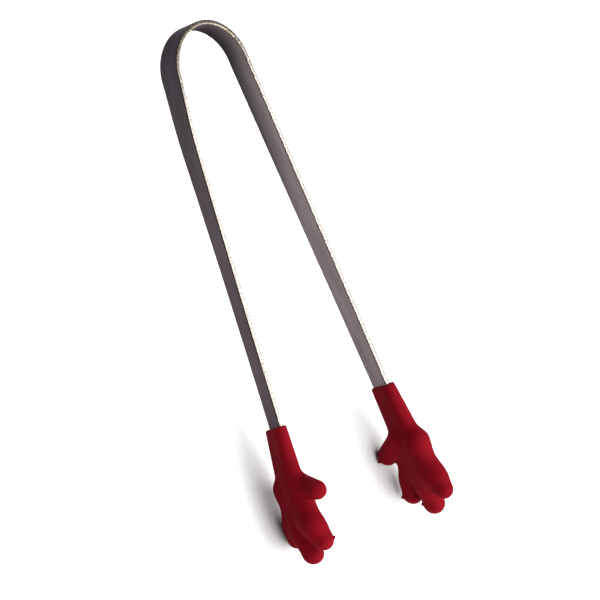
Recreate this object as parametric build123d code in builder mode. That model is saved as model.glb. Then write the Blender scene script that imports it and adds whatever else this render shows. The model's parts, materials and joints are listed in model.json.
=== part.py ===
"""Small hand-tipped tongs: a sprung stainless strip with a moulded silicone hand on each end.

The tongs lie on their side. X is the opening direction, +Y points to the bend, and Z is the strip's
width. Both hands are the same moulding: half a turn about the long axis swaps the two arms, apart
from the small difference in how far each arm is twisted.
"""
from build123d import *
from math import cos, radians, sin
import os

os.makedirs("parts", exist_ok=True)

# The strip, in mm and degrees
OVERALL_LENGTH = 127.0          # outside of the bend to the middle fingertips
STRIP_WIDTH = 6.3
STRIP_THICKNESS = 1.1
BEND_INNER_RADIUS = 10.4
ARM_LEAN = 4.5                  # each arm spreads this much from the long axis
RIGHT_TWIST = 12.0              # each arm turns about itself this much from the bend to its hand
LEFT_TWIST = 18.0
INSERT_LENGTH = 19.0            # steel hidden inside a hand
INSERT_CORNER = 2.2             # round corners at the end of that steel

# A hand's sections, across by deep, at distances along the hand from the rim of its sleeve
HAND_LENGTH = 32.5              # rim to middle fingertip
SLEEVE_SECTION = (8.1, 3.1)
SLEEVE_CORNER = 1.3
SLEEVE_INWARD = -0.2            # its middle stands this far towards the palm's side
WRIST_AT = 9.5
WRIST_SECTION = (8.9, 4.1)
WRIST_CORNER = 1.75
WRIST_ACROSS = 0.4              # its middle stands this far to the little finger's side
PALM_AT = 13.5
PALM_END = 21.5
PALM_SECTION = (11.6, 5.2)
PALM_CORNER = 2.4
PALM_ACROSS = 1.1
PALM_INWARD = 0.05
PALM_END_ROUND = 1.6
RIM_ROUND = 0.4

# Rounded rods: radius, then the root's and the tip's centre as (across, inward, along).
# Across is positive to the little finger's side, inward is positive to the palm's side.
FINGERS = {
    "index": (2.4, (-2.3, 0.2, 18.0), (-5.9, 0.7, 26.8)),
    "middle": (2.45, (1.4, 0.1, 18.0), (0.8, 0.3, HAND_LENGTH - 2.45)),
    "little": (2.3, (4.5, 0.0, 18.0), (7.0, -0.1, 26.4)),
    "thumb": (2.4, (-1.0, 0.8, 14.4), (-6.75, 2.05, 15.7)),
    "heel of the palm": (2.85, (3.4, 0.0, 14.6), (4.3, -0.15, 14.6)),
}

# Worked out from those sizes
mid_radius = BEND_INNER_RADIUS + STRIP_THICKNESS / 2
bend_y = OVERALL_LENGTH / 2 - BEND_INNER_RADIUS - STRIP_THICKNESS
half_sweep = 90 - ARM_LEAN      # the bend turns this much between its top and a shoulder
lean = radians(ARM_LEAN)
shoulder_y = bend_y + mid_radius * sin(lean)
arm_length = (shoulder_y + OVERALL_LENGTH / 2) / cos(lean) - HAND_LENGTH
sleeve_middle = (0, SLEEVE_INWARD)
wrist_middle = (WRIST_ACROSS, 0)
palm_middle = (PALM_ACROSS, PALM_INWARD)

# The tongs rest on the right thumb, so its reach below the strip's middle sets the height
thumb_radius, _, (thumb_across, thumb_inward, _) = FINGERS["thumb"]
right_twist = radians(RIGHT_TWIST)
rest_height = thumb_radius - thumb_across * cos(right_twist) + thumb_inward * sin(right_twist)

# The right arm runs from its shoulder down and outwards
shoulder = Vector(mid_radius * cos(lean), shoulder_y, rest_height)
along_arm = Vector(sin(lean), -cos(lean), 0)
long_axis = Axis((0, 0, rest_height), (0, 1, 0))


def arm_plane(distance, turn):
    """Section of the right arm: local x is across, local y is inward, local z runs along the arm."""
    across = Vector(0, 0, 1).rotate(Axis((0, 0, 0), along_arm), turn)
    return Plane(shoulder + along_arm * distance, x_dir=across, z_dir=along_arm)


def make_tongue(turn):
    """The flat steel inside a hand, with round corners at its end."""
    root = arm_plane(arm_length, turn)
    with BuildPart() as tongue:
        with BuildSketch(root):
            Rectangle(STRIP_WIDTH, STRIP_THICKNESS)
        extrude(amount=INSERT_LENGTH)
        end_face = tongue.faces().sort_by(Axis.Y)[0]
        fillet(end_face.edges().filter_by(Axis(shoulder, root.y_dir)), INSERT_CORNER)
    return tongue.part


def make_arm(turn):
    """One arm of the strip: the twisted bare length and its tongue."""
    with BuildPart() as arm:
        for plane in (arm_plane(0, 0), arm_plane(arm_length, turn)):
            with BuildSketch(plane):
                Rectangle(STRIP_WIDTH, STRIP_THICKNESS)
        loft(ruled=True)
        add(make_tongue(turn))
    return arm.part


def make_hand(turn):
    """A hand moulded over the tongue: sleeve, wrist, palm, three fingers and a thumb."""
    rim = arm_plane(arm_length, turn)
    with BuildPart() as hand:
        with BuildSketch(rim):
            with Locations(sleeve_middle):
                RectangleRounded(*SLEEVE_SECTION, SLEEVE_CORNER)
        with BuildSketch(rim.offset(WRIST_AT)):
            with Locations(wrist_middle):
                RectangleRounded(*WRIST_SECTION, WRIST_CORNER)
        loft()
        fillet(hand.faces().sort_by(Axis.Y)[-1].edges(), RIM_ROUND)
        with BuildSketch(rim.offset(WRIST_AT)):
            with Locations(wrist_middle):
                RectangleRounded(*WRIST_SECTION, WRIST_CORNER)
        with BuildSketch(rim.offset(PALM_AT)):
            with Locations(palm_middle):
                RectangleRounded(*PALM_SECTION, PALM_CORNER)
        loft()
        with BuildSketch(rim.offset(PALM_AT)):
            with Locations(palm_middle):
                RectangleRounded(*PALM_SECTION, PALM_CORNER)
        extrude(amount=PALM_END - PALM_AT)
        fillet(hand.faces().sort_by(Axis.Y)[0].edges(), PALM_END_ROUND)
        for radius, root, tip in FINGERS.values():
            start = rim.from_local_coords(root)
            end = rim.from_local_coords(tip)
            with BuildSketch(Plane(start, z_dir=end - start)):
                Circle(radius)
            extrude(amount=(end - start).length)
            with Locations(end):
                Sphere(radius)
        add(make_tongue(turn), mode=Mode.SUBTRACT)
    return hand.part


# ---- crown: the bend of the spring strip ----
with BuildPart() as crown:
    with BuildSketch(Plane.XY.offset(rest_height - STRIP_WIDTH / 2)):
        with BuildLine():
            inside = CenterArc((0, bend_y), BEND_INNER_RADIUS, ARM_LEAN, 2 * half_sweep)
            outside = CenterArc((0, bend_y), BEND_INNER_RADIUS + STRIP_THICKNESS, ARM_LEAN, 2 * half_sweep)
            Line(inside @ 0, outside @ 0)
            Line(inside @ 1, outside @ 1)
        make_face()
    extrude(amount=STRIP_WIDTH)

# ---- right arm and hand ----
with BuildPart() as right_arm:
    add(make_arm(RIGHT_TWIST))
with BuildPart() as right_hand:
    add(make_hand(RIGHT_TWIST))

# ---- left arm and hand: made as on the right, then turned half a turn about the long axis ----
with BuildPart() as left_arm:
    add(make_arm(LEFT_TWIST).rotate(long_axis, 180))
with BuildPart() as left_hand:
    add(make_hand(LEFT_TWIST).rotate(long_axis, 180))

crown.part.label = "crown"
right_arm.part.label = "right_arm"
right_hand.part.label = "right_hand"
left_arm.part.label = "left_arm"
left_hand.part.label = "left_hand"

export_step(crown.part, "parts/crown.step")
export_step(right_arm.part, "parts/right_arm.step")
export_step(right_hand.part, "parts/right_hand.step")
export_step(left_arm.part, "parts/left_arm.step")
export_step(left_hand.part, "parts/left_hand.step")
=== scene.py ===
"""Looks for the hand-tipped tongs: a bent strip of dark sprung steel and two moulded silicone hands.

Everything is in metres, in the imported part's own frame: X across the opening, +Y towards the bend,
+Z up. The names of sizes in capitals hold millimetres, unless their comment says otherwise, and MM
turns them into metres. A hand is made in millimetres in its own frame and moved into the part's last.
"""
import json
from math import atan2, cos, pi, radians, sin

import bpy
import numpy as np
from mathutils import Matrix, Vector


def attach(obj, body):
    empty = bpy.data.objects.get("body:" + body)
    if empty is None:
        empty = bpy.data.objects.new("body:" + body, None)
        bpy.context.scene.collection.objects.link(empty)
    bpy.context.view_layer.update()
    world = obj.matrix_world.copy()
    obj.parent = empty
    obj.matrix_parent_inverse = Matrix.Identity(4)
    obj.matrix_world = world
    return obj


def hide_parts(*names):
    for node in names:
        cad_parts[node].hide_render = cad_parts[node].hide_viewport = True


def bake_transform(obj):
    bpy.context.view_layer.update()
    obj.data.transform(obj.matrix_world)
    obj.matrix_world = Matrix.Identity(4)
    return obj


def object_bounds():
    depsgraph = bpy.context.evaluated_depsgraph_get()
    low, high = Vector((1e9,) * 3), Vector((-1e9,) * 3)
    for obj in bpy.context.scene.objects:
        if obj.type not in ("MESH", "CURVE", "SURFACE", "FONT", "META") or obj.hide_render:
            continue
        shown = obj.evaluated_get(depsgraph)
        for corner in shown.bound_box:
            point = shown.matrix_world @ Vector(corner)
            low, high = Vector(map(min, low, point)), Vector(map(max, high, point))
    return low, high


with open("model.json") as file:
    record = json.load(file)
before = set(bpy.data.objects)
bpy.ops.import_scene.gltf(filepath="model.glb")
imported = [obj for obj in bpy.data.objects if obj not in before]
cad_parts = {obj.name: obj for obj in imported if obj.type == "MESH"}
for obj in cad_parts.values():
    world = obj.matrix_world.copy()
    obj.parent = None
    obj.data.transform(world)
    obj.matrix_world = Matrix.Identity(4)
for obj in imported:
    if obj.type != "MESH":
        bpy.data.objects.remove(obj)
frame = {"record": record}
cad_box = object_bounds()

MM = 0.001

# ---- sizes read from the frame ----
record = frame["record"]
seat = next(m for m in record["mounts"] if m["name"] == "bend_seat")
right_joint = next(j for j in record["behaviour"]["joints"] if j["name"] == "right_flex")
bend_centre = Vector(seat["pos_m"])
inner_radius = seat["dims"]["r_mm"] * MM
strip_width = seat["dims"]["length_mm"] * MM
shoulder = Vector(right_joint["pos_m"])
mid_radius = (shoulder - bend_centre).length
strip_thickness = 2 * (mid_radius - inner_radius)
lean = atan2(shoulder.y - bend_centre.y, shoulder.x)    # how far each arm spreads, in radians

# ---- sizes repeated from the part's source ----
HAND_LENGTH = 32.5              # rim of the sleeve to the middle fingertip
TONGUE_LENGTH = 19.0            # steel inside a hand
TWIST = {"right": radians(12.0), "left": radians(18.0)}     # of each arm, from the bend to its hand
SIDES = {"left": -1, "right": 1}                            # the sign of X on each side

# ---- how the sprung strip differs from its plain form ----
TWIST_EASE = {"right": 1.0, "left": 2.4}    # 1 twists evenly, more twists sooner below the bend
BOW = {"right": 0.0, "left": 0.75}          # an arm's outward bow below the shoulder, unfaded
BOW_RISE = 18.0                             # length of arm over which the bow comes in
BOW_FADE = 1.3                              # power: more fades the bow sooner towards the hand
BEND_LEANS = (0.5, 0.18, 0.0)               # how far the top of the bend stands off a half round
LEAN_FADES = {"right": 19.0, "left": 30.0}  # length of strip, from the top, over which that fades
BEND_PINCH = {"right": 0.0, "left": 0.15}   # how much tighter the bend is halfway to a shoulder

# In metres: from the top of the bend to a shoulder, and from there to the rim of the hand's sleeve
arc_length = mid_radius * (pi / 2 - lean)
arm_length = (shoulder.y - cad_box[0].y) / cos(lean) - HAND_LENGTH * MM


# ---------------------------------------------------------------- mesh helpers

def mesh_object(name, vertices, faces):
    """A mesh object from arrays of points and faces, with smooth shading."""
    mesh = bpy.data.meshes.new(name)
    mesh.from_pydata([tuple(v) for v in vertices], [], [tuple(int(i) for i in f) for f in faces])
    mesh.update()
    mesh.polygons.foreach_set("use_smooth", [True] * len(mesh.polygons))
    thing = bpy.data.objects.new(name, mesh)
    bpy.context.scene.collection.objects.link(thing)
    return thing


# ---------------------------------------------------------------- the steel strip

def turned(vector, axis, angle):
    """vector turned about a unit axis."""
    return Matrix.Rotation(angle, 3, axis) @ vector


def ease(share):
    """A share, or an array of them, from 0 to 1 with flat ends."""
    share = np.clip(share, 0, 1)
    return share * share * (3 - 2 * share)


def strip_frame(side, s):
    """Where one half of the strip is at arc length s from the top of the bend.

    Returns its middle, the direction along it, the direction of its width (up in the bend) and the
    direction to the inside of the tongs."""
    sign = SIDES[side]
    lean_off = Vector(BEND_LEANS) * MM * (1 - ease(s / (LEAN_FADES[side] * MM)))
    if s <= arc_length:
        angle = s / mid_radius
        outward = Vector((sign * sin(angle), cos(angle), 0))
        along = Vector((sign * cos(angle), -sin(angle), 0))
        radius = mid_radius - BEND_PINCH[side] * MM * sin(pi * s / arc_length)
        return bend_centre + radius * outward + lean_off, along, Vector((0, 0, 1)), -outward
    along = Vector((sign * sin(lean), -cos(lean), 0))
    run = s - arc_length
    root = Vector((sign * shoulder.x, shoulder.y, shoulder.z))
    share = min(run / arm_length, 1)
    width = turned(Vector((0, 0, 1)), along, TWIST[side] * (1 - (1 - share) ** TWIST_EASE[side]))
    bow = BOW[side] * MM * ease(run / (BOW_RISE * MM)) * (1 - share) ** BOW_FADE
    middle = root + along * run + Vector((sign * cos(lean), sin(lean), 0)) * bow + lean_off
    return middle, along, width, along.cross(width) * sign


ROLLOVER = 0.26                 # the rounded corner that shearing leaves on the outer face
BURR = 0.14                     # the small corner on the inner face
ROLLOVER_STEPS = 5
BURR_STEPS = 2
BURR_SHADOW_LINE = 0.12                    # a painted shadow line along each side of the inner face, beside the burr
FACE_STEPS = 6                  # stretches across each face
EDGE_KINDS = ("torn", "torn", "torn", "cut")    # across an edge, from the outer face
STRIP_KINDS = ("outer", "inner", "torn", "cut", "rolled", "burr")   # in the order of the materials
RING_STEP = 0.55                # between rings of the strip
CUT_DEPTH = 0.035               # how far, as a rule, the cut line wanders back from a true edge
TORN_DEPTH = 0.02               # the same for the torn stretch, before its wander is averaged
TORN_WINDOW = 5                 # rings that the torn stretch's wander is averaged over
SPARE_RINGS = 4                 # drawn past each end, so that the average has no end effect
ROUGH_FROM = 2.0                # length of strip over which both come in from the top of the bend
SEEDS = {"left": 11, "right": 12}


def strip_section():
    """The strip's section: (across, inward) points, and the kind of stretch that each one starts."""
    w, t = strip_width / MM / 2, strip_thickness / MM / 2
    r, b = ROLLOVER, BURR
    points, kinds = [], []

    def line(start, end, *stretches):
        for k, kind in enumerate(stretches):
            go = k / len(stretches)
            points.append((start[0] + (end[0] - start[0]) * go, start[1] + (end[1] - start[1]) * go))
            kinds.append(kind)

    def corner(centre, radius, from_angle, steps, kind):
        for k in range(steps):
            a = radians(from_angle + 90 * k / steps)
            points.append((centre[0] + radius * cos(a), centre[1] + radius * sin(a)))
            kinds.append(kind)

    line((-w + r, -t), (w - r, -t), *["outer"] * FACE_STEPS)
    corner((w - r, -t + r), r, -90, ROLLOVER_STEPS, "rolled")
    line((w, -t + r), (w, t - b), *EDGE_KINDS)
    corner((w - b, t - b), b, 0, BURR_STEPS, "burr")
    # Painted shadow lines beside the burrs, in the dark colour of the rolled corners
    line((w - b, t), (w - b - BURR_SHADOW_LINE, t), "rolled")
    line((w - b - BURR_SHADOW_LINE, t), (-w + b + BURR_SHADOW_LINE, t), *["inner"] * FACE_STEPS)
    line((-w + b + BURR_SHADOW_LINE, t), (-w + b, t), "rolled")
    corner((-w + b, t - b), b, 90, BURR_STEPS, "burr")
    line((-w, t - b), (-w, -t + r), *EDGE_KINDS[::-1])
    corner((-w + r, -t + r), r, 180, ROLLOVER_STEPS, "rolled")
    return points, kinds


def strip_vertices(side, section, kinds, stations):
    """The section's points at each station along one half of the strip, roughened along its edges."""
    rng = np.random.default_rng(SEEDS[side])
    wander = rng.normal(0, 1, len(stations) + 2 * SPARE_RINGS)
    wander = np.convolve(wander, np.ones(TORN_WINDOW) / TORN_WINDOW, "same")[SPARE_RINGS:-SPARE_RINGS]
    ragged = rng.normal(0, 1, len(stations))
    come_in = np.clip(stations / (ROUGH_FROM * MM), 0, 1)
    rough = {"torn": TORN_DEPTH * abs(wander) * come_in, "cut": CUT_DEPTH * abs(ragged) * come_in}
    rough["burr"] = rough["cut"]
    vertices = []
    for ring, s in enumerate(stations):
        middle, _, width, inward = strip_frame(side, s)
        for (across, depth), kind in zip(section, kinds):
            if kind in rough:
                across -= np.sign(across) * rough[kind][ring]
            vertices.append(middle + width * (across * MM) + inward * (depth * MM))
    return vertices


def strip_faces(side, section, kinds, stations):
    """Quads between the rings and a cap at each end, with each face's kind and its corners' UVs.

    A UV is in mm: the length along the strip from the top of the bend, and the way round the
    section."""
    count, rings = len(section), len(stations)
    girth = [0.0]
    for k in range(count):
        a, b = section[k], section[(k + 1) % count]
        girth.append(girth[-1] + ((a[0] - b[0]) ** 2 + (a[1] - b[1]) ** 2) ** 0.5)
    faces, face_kinds, uvs = [], [], []
    for ring in range(rings - 1):
        u0, u1 = stations[ring] / MM, stations[ring + 1] / MM
        for k in range(count):
            a, b = ring * count + k, ring * count + (k + 1) % count
            quad = (a, b, b + count, a + count)
            corners = ((u0, girth[k]), (u0, girth[k + 1]), (u1, girth[k + 1]), (u1, girth[k]))
            if side == "left":
                quad, corners = quad[::-1], corners[::-1]
            faces.append(quad)
            face_kinds.append(kinds[k])
            uvs.extend(corners)
    first = tuple(range(count))
    last = tuple((rings - 1) * count + k for k in range(count))
    caps = (first[::-1], last) if side == "right" else (first, last[::-1])
    for cap in caps:
        faces.append(cap)
        face_kinds.append("torn")
        uvs.extend([(0.0, 0.0)] * count)
    return faces, face_kinds, uvs


def make_half_strip(side):
    """One half of the strip, from the top of the bend to the end of the tongue in the hand."""
    section, kinds = strip_section()
    total = arc_length + arm_length + TONGUE_LENGTH * MM
    stations = np.linspace(0, total, int(total / (RING_STEP * MM)) + 1)
    vertices = strip_vertices(side, section, kinds, stations)
    faces, face_kinds, uvs = strip_faces(side, section, kinds, stations)
    strip = mesh_object(f"strip_{side}", vertices, faces)
    layer = strip.data.uv_layers.new(name="along_strip")
    layer.data.foreach_set("uv", np.array(uvs, float).ravel())
    places = [STRIP_KINDS.index(kind) for kind in face_kinds]
    strip.data.polygons.foreach_set("material_index", places)
    hide_seam(strip, section, side)
    return strip


def hide_seam(strip, section, side):
    """Gives the first ring, where the two halves meet, the normals of an unbroken strip."""
    count = len(section)
    points = np.array(section)
    leaving = np.roll(points, -1, 0) - points
    leaving /= length(leaving)[:, None]
    normals = leaving + np.roll(leaving, 1, 0)
    normals = np.stack([normals[:, 1], -normals[:, 0]], 1)
    _, _, width, inward = strip_frame(side, 0)
    mesh = strip.data
    corners = [Vector(n.vector) for n in mesh.corner_normals]
    for polygon in mesh.polygons:
        for loop in polygon.loop_indices:
            vertex = mesh.loops[loop].vertex_index
            if len(polygon.vertices) > 4:       # a cap at one end
                corners[loop] = polygon.normal.copy()
            elif vertex < count:
                across, depth = normals[vertex]
                corners[loop] = (width * across + inward * depth).normalized()
    mesh.normals_split_custom_set(corners)


# ---------------------------------------------------------------- the silicone hands

# A hand's own frame: across (positive to the little finger), inward (positive to the palm) and along
# (from the sleeve's rim to the fingertips).
SLEEVE = {"half": (4.05, 1.56), "corner": 1.5, "middle": (0.05, -0.2)}
WRIST = {"half": (4.5, 2.15), "corner": 2.1, "middle": (0.6, -0.25)}
WRIST_AT = 9.5                  # where the sleeve has grown to the wrist's section
WRIST_SHARES = (-0.1, 1.3)      # where the sleeve's taper starts and stops, as shares of WRIST_AT
RIM_AT = {"left": -0.4, "right": 0.0}       # the left sleeve reaches a little further up its arm
SLEEVE_FADES = 12.0             # from here on the sleeve shrinks away inside the palm
SLEEVE_FADE_RATE = 0.05         # per square mm of length
RIM_ROUND = 0.45
PALM_LOW = (-4.55, -2.5, 12.6)
PALM_HIGH = (6.55, 2.6, 24.0)
PALM_ROUND = 2.5
# A finger has a root, a middle and a tip, the thumb a root and a tip, each as (centre, radius)
FINGERS = {
    "index": (((-2.0, 0.0, 16.6), 2.4), ((-4.35, -0.1, 23.2), 2.5), ((-5.55, 0.75, 26.7), 2.5)),
    "middle": (((1.55, 0.1, 16.5), 2.5), ((1.6, -0.2, 24.7), 2.8), ((0.1, -0.3, 29.75), 2.6)),
    "little": (((4.55, 0.0, 17.0), 2.5), ((5.7, -0.05, 23.2), 2.5), ((7.35, 0.0, 26.5), 2.3)),
}
THUMB_ROOT = ((-0.35, 0.6, 13.35), 3.0)
THUMB_TIP = ((-6.7, 2.3, 15.8), 2.35)
HEEL = ((4.6, -0.2, 14.5), 3.05)
FINGER_MELT = 1.8               # length over which two fingers run into each other
KNUCKLE_MELT = 2.75             # the same for the two stretches of one finger
PALM_MELT = 1.6
THUMB_MELT = 1.25
NUB_MELT = 0.35
# Flash left where the mould closed: centre and radius of each small nub
NUBS = {
    "left": (((-7.0, 2.9, 26.7), 0.42),),
    "right": (
        ((-7.0, 2.9, 26.7), 0.42),
        ((-1.0, 2.05, 29.1), 0.42),
        ((-7.95, 4.35, 17.1), 0.42),
    ),
}
# The soft hands sit a little crooked: how far along they shift per mm across, past the wrist
CROOKED = {"left": -0.113, "right": 0.06}
CROOK_REACH = 3.0               # before and after the wrist, where that comes in
STRETCHED = {"left": 0.0, "right": 0.035}   # share by which a hand is longer past the wrist
THUMB_DROPS = {"left": -0.65, "right": 0.68}    # how far a thumb's tip bends to the fingertips
CELL = 0.26                     # size of the grid that the hand's surface is found on
HAND_LOW = (-11.0, -4.5, -1.0)
HAND_HIGH = (11.5, 6.0, 34.0)
PULLS = 3                       # times that the surface's points are pulled onto it
PROBE = 1e-3                    # how far from a point its slope is felt
LEAST_SLOPE = 0.25              # a floor for the squared slope, where the distance is nearly flat


def length(v):
    """The length of each vector in an array."""
    return np.sqrt((v * v).sum(-1))


def rounded_cone(p, a, b, ra, rb):
    """Distance to a rod from a to b whose radius runs from ra to rb."""
    a, b = np.array(a), np.array(b)
    axis = b - a
    t = np.clip((p - a) @ axis / (axis @ axis), 0, 1)
    return length(p - a - t[..., None] * axis) - (ra + (rb - ra) * t)


def rounded_box(p, low, high, radius):
    """Distance to a box with rounded edges."""
    low, high = np.array(low), np.array(high)
    q = np.abs(p - (low + high) / 2) - (high - low) / 2 + radius
    return length(np.maximum(q, 0)) + np.minimum(q.max(-1), 0) - radius


def melt(a, b, reach):
    """Smooth union of two distances."""
    h = np.clip(reach - np.abs(a - b), 0, None) / reach
    return np.minimum(a, b) - h * h * reach / 4


def sleeve_distance(p, side):
    """The sleeve and wrist: a rounded section that grows along the hand and ends in the palm."""
    t = np.clip(p[..., 2] / WRIST_AT, *WRIST_SHARES)[..., None]
    half = np.array(SLEEVE["half"]) * (1 - t) + np.array(WRIST["half"]) * t
    middle = np.array(SLEEVE["middle"]) * (1 - t) + np.array(WRIST["middle"]) * t
    corner = SLEEVE["corner"] * (1 - t[..., 0]) + WRIST["corner"] * t[..., 0]
    q = np.abs(p[..., :2] - middle) - half + corner[..., None]
    wall = length(np.maximum(q, 0)) + np.minimum(q.max(-1), 0) - corner
    ends = np.stack([wall + RIM_ROUND, RIM_AT[side] + RIM_ROUND - p[..., 2]], -1)
    rim = length(np.maximum(ends, 0)) + np.minimum(ends.max(-1), 0) - RIM_ROUND
    fade = np.clip(p[..., 2] - SLEEVE_FADES, 0, None)
    return rim + SLEEVE_FADE_RATE * fade * fade


def hand_distance(p, side):
    """Signed distance to a hand's surface, negative inside."""
    fingers = None
    for root, middle, tip in FINGERS.values():
        rod = rounded_cone(p, root[0], middle[0], root[1], middle[1])
        rod = melt(rod, rounded_cone(p, middle[0], tip[0], middle[1], tip[1]), KNUCKLE_MELT)
        fingers = rod if fingers is None else melt(fingers, rod, FINGER_MELT)
    palm = rounded_box(p, PALM_LOW, PALM_HIGH, PALM_ROUND)
    palm = melt(palm, length(p - np.array(HEEL[0])) - HEEL[1], PALM_MELT)
    body = melt(sleeve_distance(p, side), palm, PALM_MELT)
    body = melt(body, fingers, PALM_MELT)
    thumb_tip = np.array(THUMB_TIP[0]) + (0, 0, THUMB_DROPS[side])
    thumb = rounded_cone(p, THUMB_ROOT[0], thumb_tip, THUMB_ROOT[1], THUMB_TIP[1])
    body = melt(body, thumb, THUMB_MELT)
    for centre, radius in NUBS[side]:
        body = melt(body, length(p - np.array(centre)) - radius, NUB_MELT)
    return body


def surface_net(distance, low, high, cell):
    """Points and quads on the zero surface of a distance function, found on a grid."""
    counts = np.ceil((np.array(high) - np.array(low)) / cell).astype(int) + 1
    axes = [low[k] + cell * np.arange(counts[k]) for k in range(3)]
    grid = np.stack(np.meshgrid(*axes, indexing="ij"), -1)
    value = distance(grid)
    points, number = net_points(grid, value)
    for _ in range(PULLS):
        points = points - pull(distance, points)
    return points, net_quads(value < 0, number)


def net_points(grid, value):
    """One point in each cell that the surface crosses, and each cell's point number, or -1.

    A point is the middle of the places where the surface crosses the cell's twelve edges."""
    inside = value < 0
    shape = np.array(value.shape) - 1
    total, hits = np.zeros((*shape, 3)), np.zeros(shape)
    for start in [(i, j, k) for i in (0, 1) for j in (0, 1) for k in (0, 1)]:
        for axis in range(3):
            if start[axis]:
                continue
            end = tuple(1 if n == axis else start[n] for n in range(3))
            cut_a = tuple(slice(start[n], start[n] + shape[n]) for n in range(3))
            cut_b = tuple(slice(end[n], end[n] + shape[n]) for n in range(3))
            crossed = inside[cut_a] != inside[cut_b]
            step = np.where(crossed, value[cut_a] - value[cut_b], 1)
            share = np.where(crossed, value[cut_a] / step, 0)
            point = grid[cut_a] + share[..., None] * (grid[cut_b] - grid[cut_a])
            total += point * crossed[..., None]
            hits += crossed
    used = hits > 0
    number = np.full(shape, -1)
    number[used] = np.arange(used.sum())
    return total[used] / hits[used][:, None], number


def net_quads(inside, number):
    """A quad of cell points round each grid edge that the surface crosses, facing outward."""
    shape = number.shape
    quads = []
    for axis in range(3):
        u, v = (axis + 1) % 3, (axis + 2) % 3
        low_cut = [slice(1, shape[n]) for n in range(3)]
        low_cut[axis] = slice(0, shape[axis])
        high_cut = list(low_cut)
        high_cut[axis] = slice(1, shape[axis] + 1)
        a_in, b_in = inside[tuple(low_cut)], inside[tuple(high_cut)]
        base = np.argwhere(a_in != b_in)
        outward = a_in[a_in != b_in]
        base[:, u] += 1
        base[:, v] += 1
        around = []
        for du, dv in ((0, 0), (-1, 0), (-1, -1), (0, -1)):
            cell_at = base.copy()
            cell_at[:, u] += du
            cell_at[:, v] += dv
            around.append(number[tuple(cell_at.T)])
        quad = np.stack(around, 1)
        quad[~outward] = quad[~outward][:, ::-1]
        quads.append(quad)
    return np.concatenate(quads)


def pull(distance, points):
    """The step that brings points onto the zero surface."""
    value = distance(points)
    felt = [distance(points + PROBE * np.eye(3)[k]) - value for k in range(3)]
    slope = np.stack(felt, 1) / PROBE
    size = np.maximum((slope * slope).sum(1), LEAST_SLOPE)
    return (value / size)[:, None] * slope


def make_hand(side):
    """One hand in the part's frame: the same moulding for both, each bent a little its own way."""
    points, quads = surface_net(lambda p: hand_distance(p, side), HAND_LOW, HAND_HIGH, CELL)
    past_wrist = ease((points[:, 2] - WRIST_AT + CROOK_REACH) / (2 * CROOK_REACH))
    points[:, 2] += CROOKED[side] * points[:, 0] * past_wrist
    points[:, 2] += STRETCHED[side] * np.clip(points[:, 2] - WRIST_AT, 0, None)
    rim, along, width, inward = strip_frame(side, arc_length + arm_length)
    to_frame = np.array([width * SIDES[side], inward, along]) * MM
    return mesh_object(f"hand_{side}", points @ to_frame + np.array(rim), quads)


# ---------------------------------------------------------------- materials

NOISE_RANGE = (0.3, 0.7)        # a noise's factor is mostly between these
SHADE_PLACES = (0.35, 0.65)     # the factors at which a shaded colour is darkest and lightest


def new_material(name):
    """A new material with its nodes, its links and its shader."""
    material = bpy.data.materials.new(name)
    material.use_nodes = True
    nodes = material.node_tree.nodes
    return material, nodes, material.node_tree.links, nodes["Principled BSDF"]


def noise(nodes, links, source, scale=1.0, stretch=(1, 1, 1), detail=4.0, roughness=0.5):
    """A noise texture's factor, on coordinates stretched by (x, y, z)."""
    mapping = nodes.new("ShaderNodeMapping")
    mapping.inputs["Scale"].default_value = stretch
    links.new(source, mapping.inputs["Vector"])
    texture = nodes.new("ShaderNodeTexNoise")
    texture.inputs["Scale"].default_value = scale
    texture.inputs["Detail"].default_value = detail
    texture.inputs["Roughness"].default_value = roughness
    links.new(mapping.outputs["Vector"], texture.inputs["Vector"])
    return texture.outputs["Fac"]


def ramp(nodes, links, factor, stops):
    """A colour ramp with (place, colour) stops."""
    node = nodes.new("ShaderNodeValToRGB")
    elements = node.color_ramp.elements
    elements[0].position, elements[0].color = stops[0][0], (*stops[0][1], 1)
    elements[1].position, elements[1].color = stops[-1][0], (*stops[-1][1], 1)
    for place, colour in stops[1:-1]:
        elements.new(place).color = (*colour, 1)
    links.new(factor, node.inputs["Fac"])
    return node.outputs["Color"]


def spread(nodes, links, factor, low, high):
    """A noise's factor, spread between low and high."""
    node = nodes.new("ShaderNodeMapRange")
    node.inputs["From Min"].default_value = NOISE_RANGE[0]
    node.inputs["From Max"].default_value = NOISE_RANGE[1]
    node.inputs["To Min"].default_value = low
    node.inputs["To Max"].default_value = high
    links.new(factor, node.inputs["Value"])
    return node.outputs["Result"]


def bump(nodes, links, shader, height, distance, strength, before=None):
    """A bump on the shader's normal, over another bump where one is given; distance is in metres."""
    node = nodes.new("ShaderNodeBump")
    node.inputs["Distance"].default_value = distance
    node.inputs["Strength"].default_value = strength
    links.new(height, node.inputs["Height"])
    if before is not None:
        links.new(before, node.inputs["Normal"])
    links.new(node.outputs["Normal"], shader.inputs["Normal"])
    return node.outputs["Normal"]


def down_the_arm(nodes, links, uv, start, end, slope=0.0):
    """A factor from 0 to 1 between two places along the strip, in mm from the top of the bend.

    A slope moves the change that many mm further down the arm per mm round the strip's section."""
    parts = nodes.new("ShaderNodeSeparateXYZ")
    links.new(uv, parts.inputs["Vector"])
    place = nodes.new("ShaderNodeMath")
    place.operation = "MULTIPLY_ADD"
    place.inputs[1].default_value = -slope
    links.new(parts.outputs["Y"], place.inputs[0])
    links.new(parts.outputs["X"], place.inputs[2])
    node = nodes.new("ShaderNodeMapRange")
    node.interpolation_type = "SMOOTHSTEP"
    node.inputs["From Min"].default_value = start
    node.inputs["From Max"].default_value = end
    links.new(place.outputs["Value"], node.inputs["Value"])
    return node.outputs["Result"]


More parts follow.
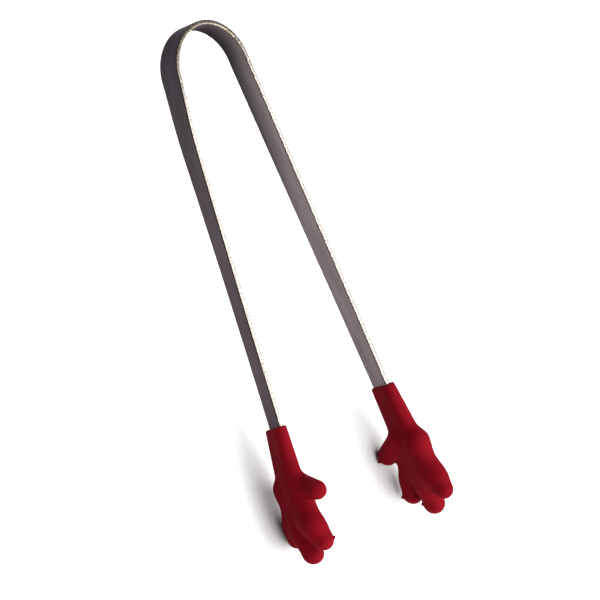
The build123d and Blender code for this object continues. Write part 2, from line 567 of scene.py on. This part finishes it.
def mix_colours(nodes, links, factor, first, second):
    """The first colour at factor 0, the second at 1."""
    node = nodes.new("ShaderNodeMix")
    node.data_type = "RGBA"
    links.new(factor, node.inputs["Factor"])
    links.new(first, node.inputs["A"])
    links.new(second, node.inputs["B"])
    return node.outputs["Result"]


def shades(base, low, high):
    """Two stops of one colour, darkened and lightened."""
    return [(place, tuple(c * k for c in base)) for place, k in zip(SHADE_PLACES, (low, high))]


def steel_face(name, at_bend, at_hand, start, end, slope=0.0):
    """Dark sprung steel, rolled and lightly brushed along the strip, with painted shade that makes it
    darker in the bend.
    """
    material, nodes, links, shader = new_material(name)
    uv = nodes.new("ShaderNodeTexCoord").outputs["UV"]
    grain = noise(nodes, links, uv, stretch=(0.35, 9.0, 1), detail=6.0, roughness=0.6)
    cloud = noise(nodes, links, uv, stretch=(0.06, 0.25, 1), detail=3.0)
    mix = nodes.new("ShaderNodeMix")
    mix.inputs["Factor"].default_value = 0.35       # the grain's share of the tone
    links.new(cloud, mix.inputs["A"])
    links.new(grain, mix.inputs["B"])
    tone = mix.outputs["Result"]
    tones = [ramp(nodes, links, tone, shades(c, low=0.82, high=1.18)) for c in (at_bend, at_hand)]
    # Painted shade: dark round the bend, lighter down the arm; a slope moves that change across the
    # face, a painted reflection.
    where = down_the_arm(nodes, links, uv, start, end, slope)
    links.new(mix_colours(nodes, links, where, *tones), shader.inputs["Base Color"])
    shader.inputs["Metallic"].default_value = 1.0
    shader.inputs["Specular Tint"].default_value = (0.50, 0.46, 0.49, 1.0)
    links.new(spread(nodes, links, grain, low=0.34, high=0.50), shader.inputs["Roughness"])
    bump(nodes, links, shader, grain, distance=0.00001, strength=0.35)
    return material


def steel_edge(name, at_bend, at_hand):
    """The sheared edge: torn and speckled, with one list of colours round the bend and one down the
    arms, each from the pits to the glints; the change between the two is painted shade."""
    material, nodes, links, shader = new_material(name)
    uv = nodes.new("ShaderNodeTexCoord").outputs["UV"]
    torn = noise(nodes, links, uv, stretch=(2.0, 2.4, 1), detail=4.0, roughness=0.7)
    places = (0.40, 0.50, 0.60)         # of the pits, the ground and the glints in the noise
    tones = [ramp(nodes, links, torn, list(zip(places, c))) for c in (at_bend, at_hand)]
    # Painted shade: the edges darker round the bend, the burr line darker down the arms.
    where = down_the_arm(nodes, links, uv, *EDGE_TURNS)
    links.new(mix_colours(nodes, links, where, *tones), shader.inputs["Base Color"])
    shader.inputs["Metallic"].default_value = 1.0
    links.new(spread(nodes, links, torn, low=0.46, high=0.32), shader.inputs["Roughness"])
    bump(nodes, links, shader, torn, distance=0.00006, strength=0.6)
    return material


def silicone():
    """Deep red moulded silicone: dull, faintly mottled, with the mould's fine grain."""
    material, nodes, links, shader = new_material("red_silicone")
    place = nodes.new("ShaderNodeTexCoord").outputs["Object"]
    mottle = noise(nodes, links, place, scale=160.0, detail=3.0)
    reds = [(0.32, (0.104, 0.0021, 0.0052)), (0.68, (0.134, 0.0027, 0.0068))]
    links.new(ramp(nodes, links, mottle, reds), shader.inputs["Base Color"])
    grain = noise(nodes, links, place, scale=2600.0, detail=3.0)
    links.new(spread(nodes, links, mottle, low=0.52, high=0.62), shader.inputs["Roughness"])
    shader.inputs["Specular IOR Level"].default_value = 0.01
    shader.inputs["Subsurface Weight"].default_value = 0.06
    shader.inputs["Subsurface Radius"].default_value = (1.0, 0.25, 0.2)
    shader.inputs["Subsurface Scale"].default_value = 0.0012
    soft = bump(nodes, links, shader, mottle, distance=0.0002, strength=0.25)
    bump(nodes, links, shader, grain, distance=0.00002, strength=0.25, before=soft)
    return material


def floor_paper():
    """Pale paper with a barely visible tooth."""
    material, nodes, links, shader = new_material("pale_floor")
    place = nodes.new("ShaderNodeTexCoord").outputs["Object"]
    tooth = noise(nodes, links, place, scale=900.0)
    greys = [(0.3, (0.59, 0.59, 0.59)), (0.7, (0.63, 0.63, 0.63))]
    links.new(ramp(nodes, links, tooth, greys), shader.inputs["Base Color"])
    shader.inputs["Roughness"].default_value = 0.9
    shader.inputs["Specular IOR Level"].default_value = 0.1
    return material


# ---------------------------------------------------------------- build the pieces

# The strip's other stretches: colours round the bend, then down the arms, from pits to glints.
# The darker edges round the bend are painted shade. The burr line, darker down the arms, and the dark
# rolled corners are painted shadow lines.
EDGE_TURNS = (7.0, 28.0)        # from the top of the bend, where the first turn into the second
EDGE_TONES = {
    "torn_edge": (((0.008, 0.006, 0.005), (0.024, 0.019, 0.015), (0.115, 0.097, 0.075)),
                  ((0.130, 0.113, 0.096), (0.225, 0.208, 0.186), (0.350, 0.336, 0.310))),
    "cut_edge": (((0.045, 0.036, 0.027), (0.145, 0.122, 0.093), (0.310, 0.275, 0.225)),
                 ((0.120, 0.109, 0.098), (0.220, 0.208, 0.194), (0.350, 0.338, 0.316))),
    "rolled_corner": (((0.014, 0.011, 0.009), (0.028, 0.022, 0.018), (0.050, 0.042, 0.036)),
                      ((0.014, 0.009, 0.006), (0.028, 0.021, 0.016), (0.060, 0.048, 0.038))),
    "burr_line": (((0.045, 0.036, 0.027), (0.145, 0.122, 0.093), (0.310, 0.275, 0.225)),
                  ((0.008, 0.006, 0.005), (0.018, 0.014, 0.011), (0.110, 0.098, 0.082))),
}
steel_materials = [
    # Round the bend the faces' colour is painted shade; the inner face's slope paints a reflection
    # that lightens sooner along one side.
    steel_face("steel_outer_face", (0.036, 0.033, 0.038), (0.093, 0.077, 0.084), 0, 60),
    steel_face("steel_inner_face", (0.024, 0.022, 0.024), (0.168, 0.138, 0.142), -88, -16, slope=7.7),
    *[steel_edge(name, *tones) for name, tones in EDGE_TONES.items()],
]

for side in SIDES:
    strip = make_half_strip(side)
    for material in steel_materials:
        strip.data.materials.append(material)
    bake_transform(strip)
    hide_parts(f"{side}_arm", "crown")

red = silicone()
for side in SIDES:
    hand = make_hand(side)
    hand.data.materials.append(red)
    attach(hand, f"{side}_side")
    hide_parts(f"{side}_hand")


# ---------------------------------------------------------------- floor, light and camera

FLOOR_SIZE = 4.0                # metres
ROOM_LIGHT = 0.02               # strength of the plain white world
CAMERA_SWING = radians(41.29)   # from straight above towards the left arm's side
CAMERA_PITCH = radians(1.29)    # from there towards the bend
CAMERA_ROLL = radians(-20.24)
CAMERA_AIM = (1.13, -5.32)      # X and Y of the point that the camera looks at
AIM_RISE = 1.94                 # how far that point is above the middle of the bend's width
CAMERA_DISTANCE = 1.0272        # metres
SENSOR_WIDTH = 36.0
FOCAL_LENGTH = 264.9
NEAREST = 0.05                  # metres, the closest that the camera sees


def make_floor():
    """A pale square under the tongs."""
    half = FLOOR_SIZE / 2
    corners = [(-half, -half, 0), (half, -half, 0), (half, half, 0), (-half, half, 0)]
    floor = mesh_object("floor", corners, [(0, 1, 2, 3)])
    floor.data.materials.append(floor_paper())


def soft_light(name, direction, distance, size, power):
    """A square area light, in metres and watts, that faces the origin, under the tongs' middle."""
    light = bpy.data.lights.new(name, "AREA")
    light.shape = "SQUARE"
    light.size = size
    light.energy = power
    lamp = bpy.data.objects.new(name, light)
    bpy.context.scene.collection.objects.link(lamp)
    lamp.location = Vector(direction).normalized() * distance
    lamp.rotation_euler = lamp.location.to_track_quat("Z", "Y").to_euler()


def make_world():
    """A dim white room, and colours shown with no film curve."""
    world = bpy.data.worlds.new("studio")
    world.use_nodes = True
    background = world.node_tree.nodes["Background"]
    background.inputs["Color"].default_value = (1, 1, 1, 1)
    background.inputs["Strength"].default_value = ROOM_LIGHT
    bpy.context.scene.world = world
    bpy.context.scene.view_settings.view_transform = "Standard"


def make_camera():
    """A long lens above the left arm's side, rolled so that the tongs hang down to the right."""
    swing, pitch, roll = CAMERA_SWING, CAMERA_PITCH, CAMERA_ROLL
    aim = Vector((*CAMERA_AIM, 0)) * MM + Vector((0, 0, bend_centre.z + AIM_RISE * MM))
    back = Vector((-sin(swing) * cos(pitch), sin(pitch), cos(swing) * cos(pitch)))
    level = Vector((0, 1, 0)).cross(back).normalized()
    upright = back.cross(level)
    right = level * cos(roll) + upright * sin(roll)
    up = upright * cos(roll) - level * sin(roll)
    lens = bpy.data.cameras.new("camera")
    lens.sensor_width = SENSOR_WIDTH
    lens.lens = FOCAL_LENGTH
    lens.clip_start = NEAREST
    camera = bpy.data.objects.new("camera", lens)
    bpy.context.scene.collection.objects.link(camera)
    turn = Matrix((right, up, back)).transposed().to_4x4()
    camera.matrix_world = Matrix.Translation(aim + back * CAMERA_DISTANCE) @ turn
    bpy.context.scene.camera = camera


make_floor()
soft_light("overhead", direction=(0.35, -0.35, 1.0), distance=1.0, size=1.9, power=61.0)
soft_light("front", direction=(-0.1, -1.0, 0.5), distance=1.0, size=1.0, power=8.0)
make_world()
make_camera()
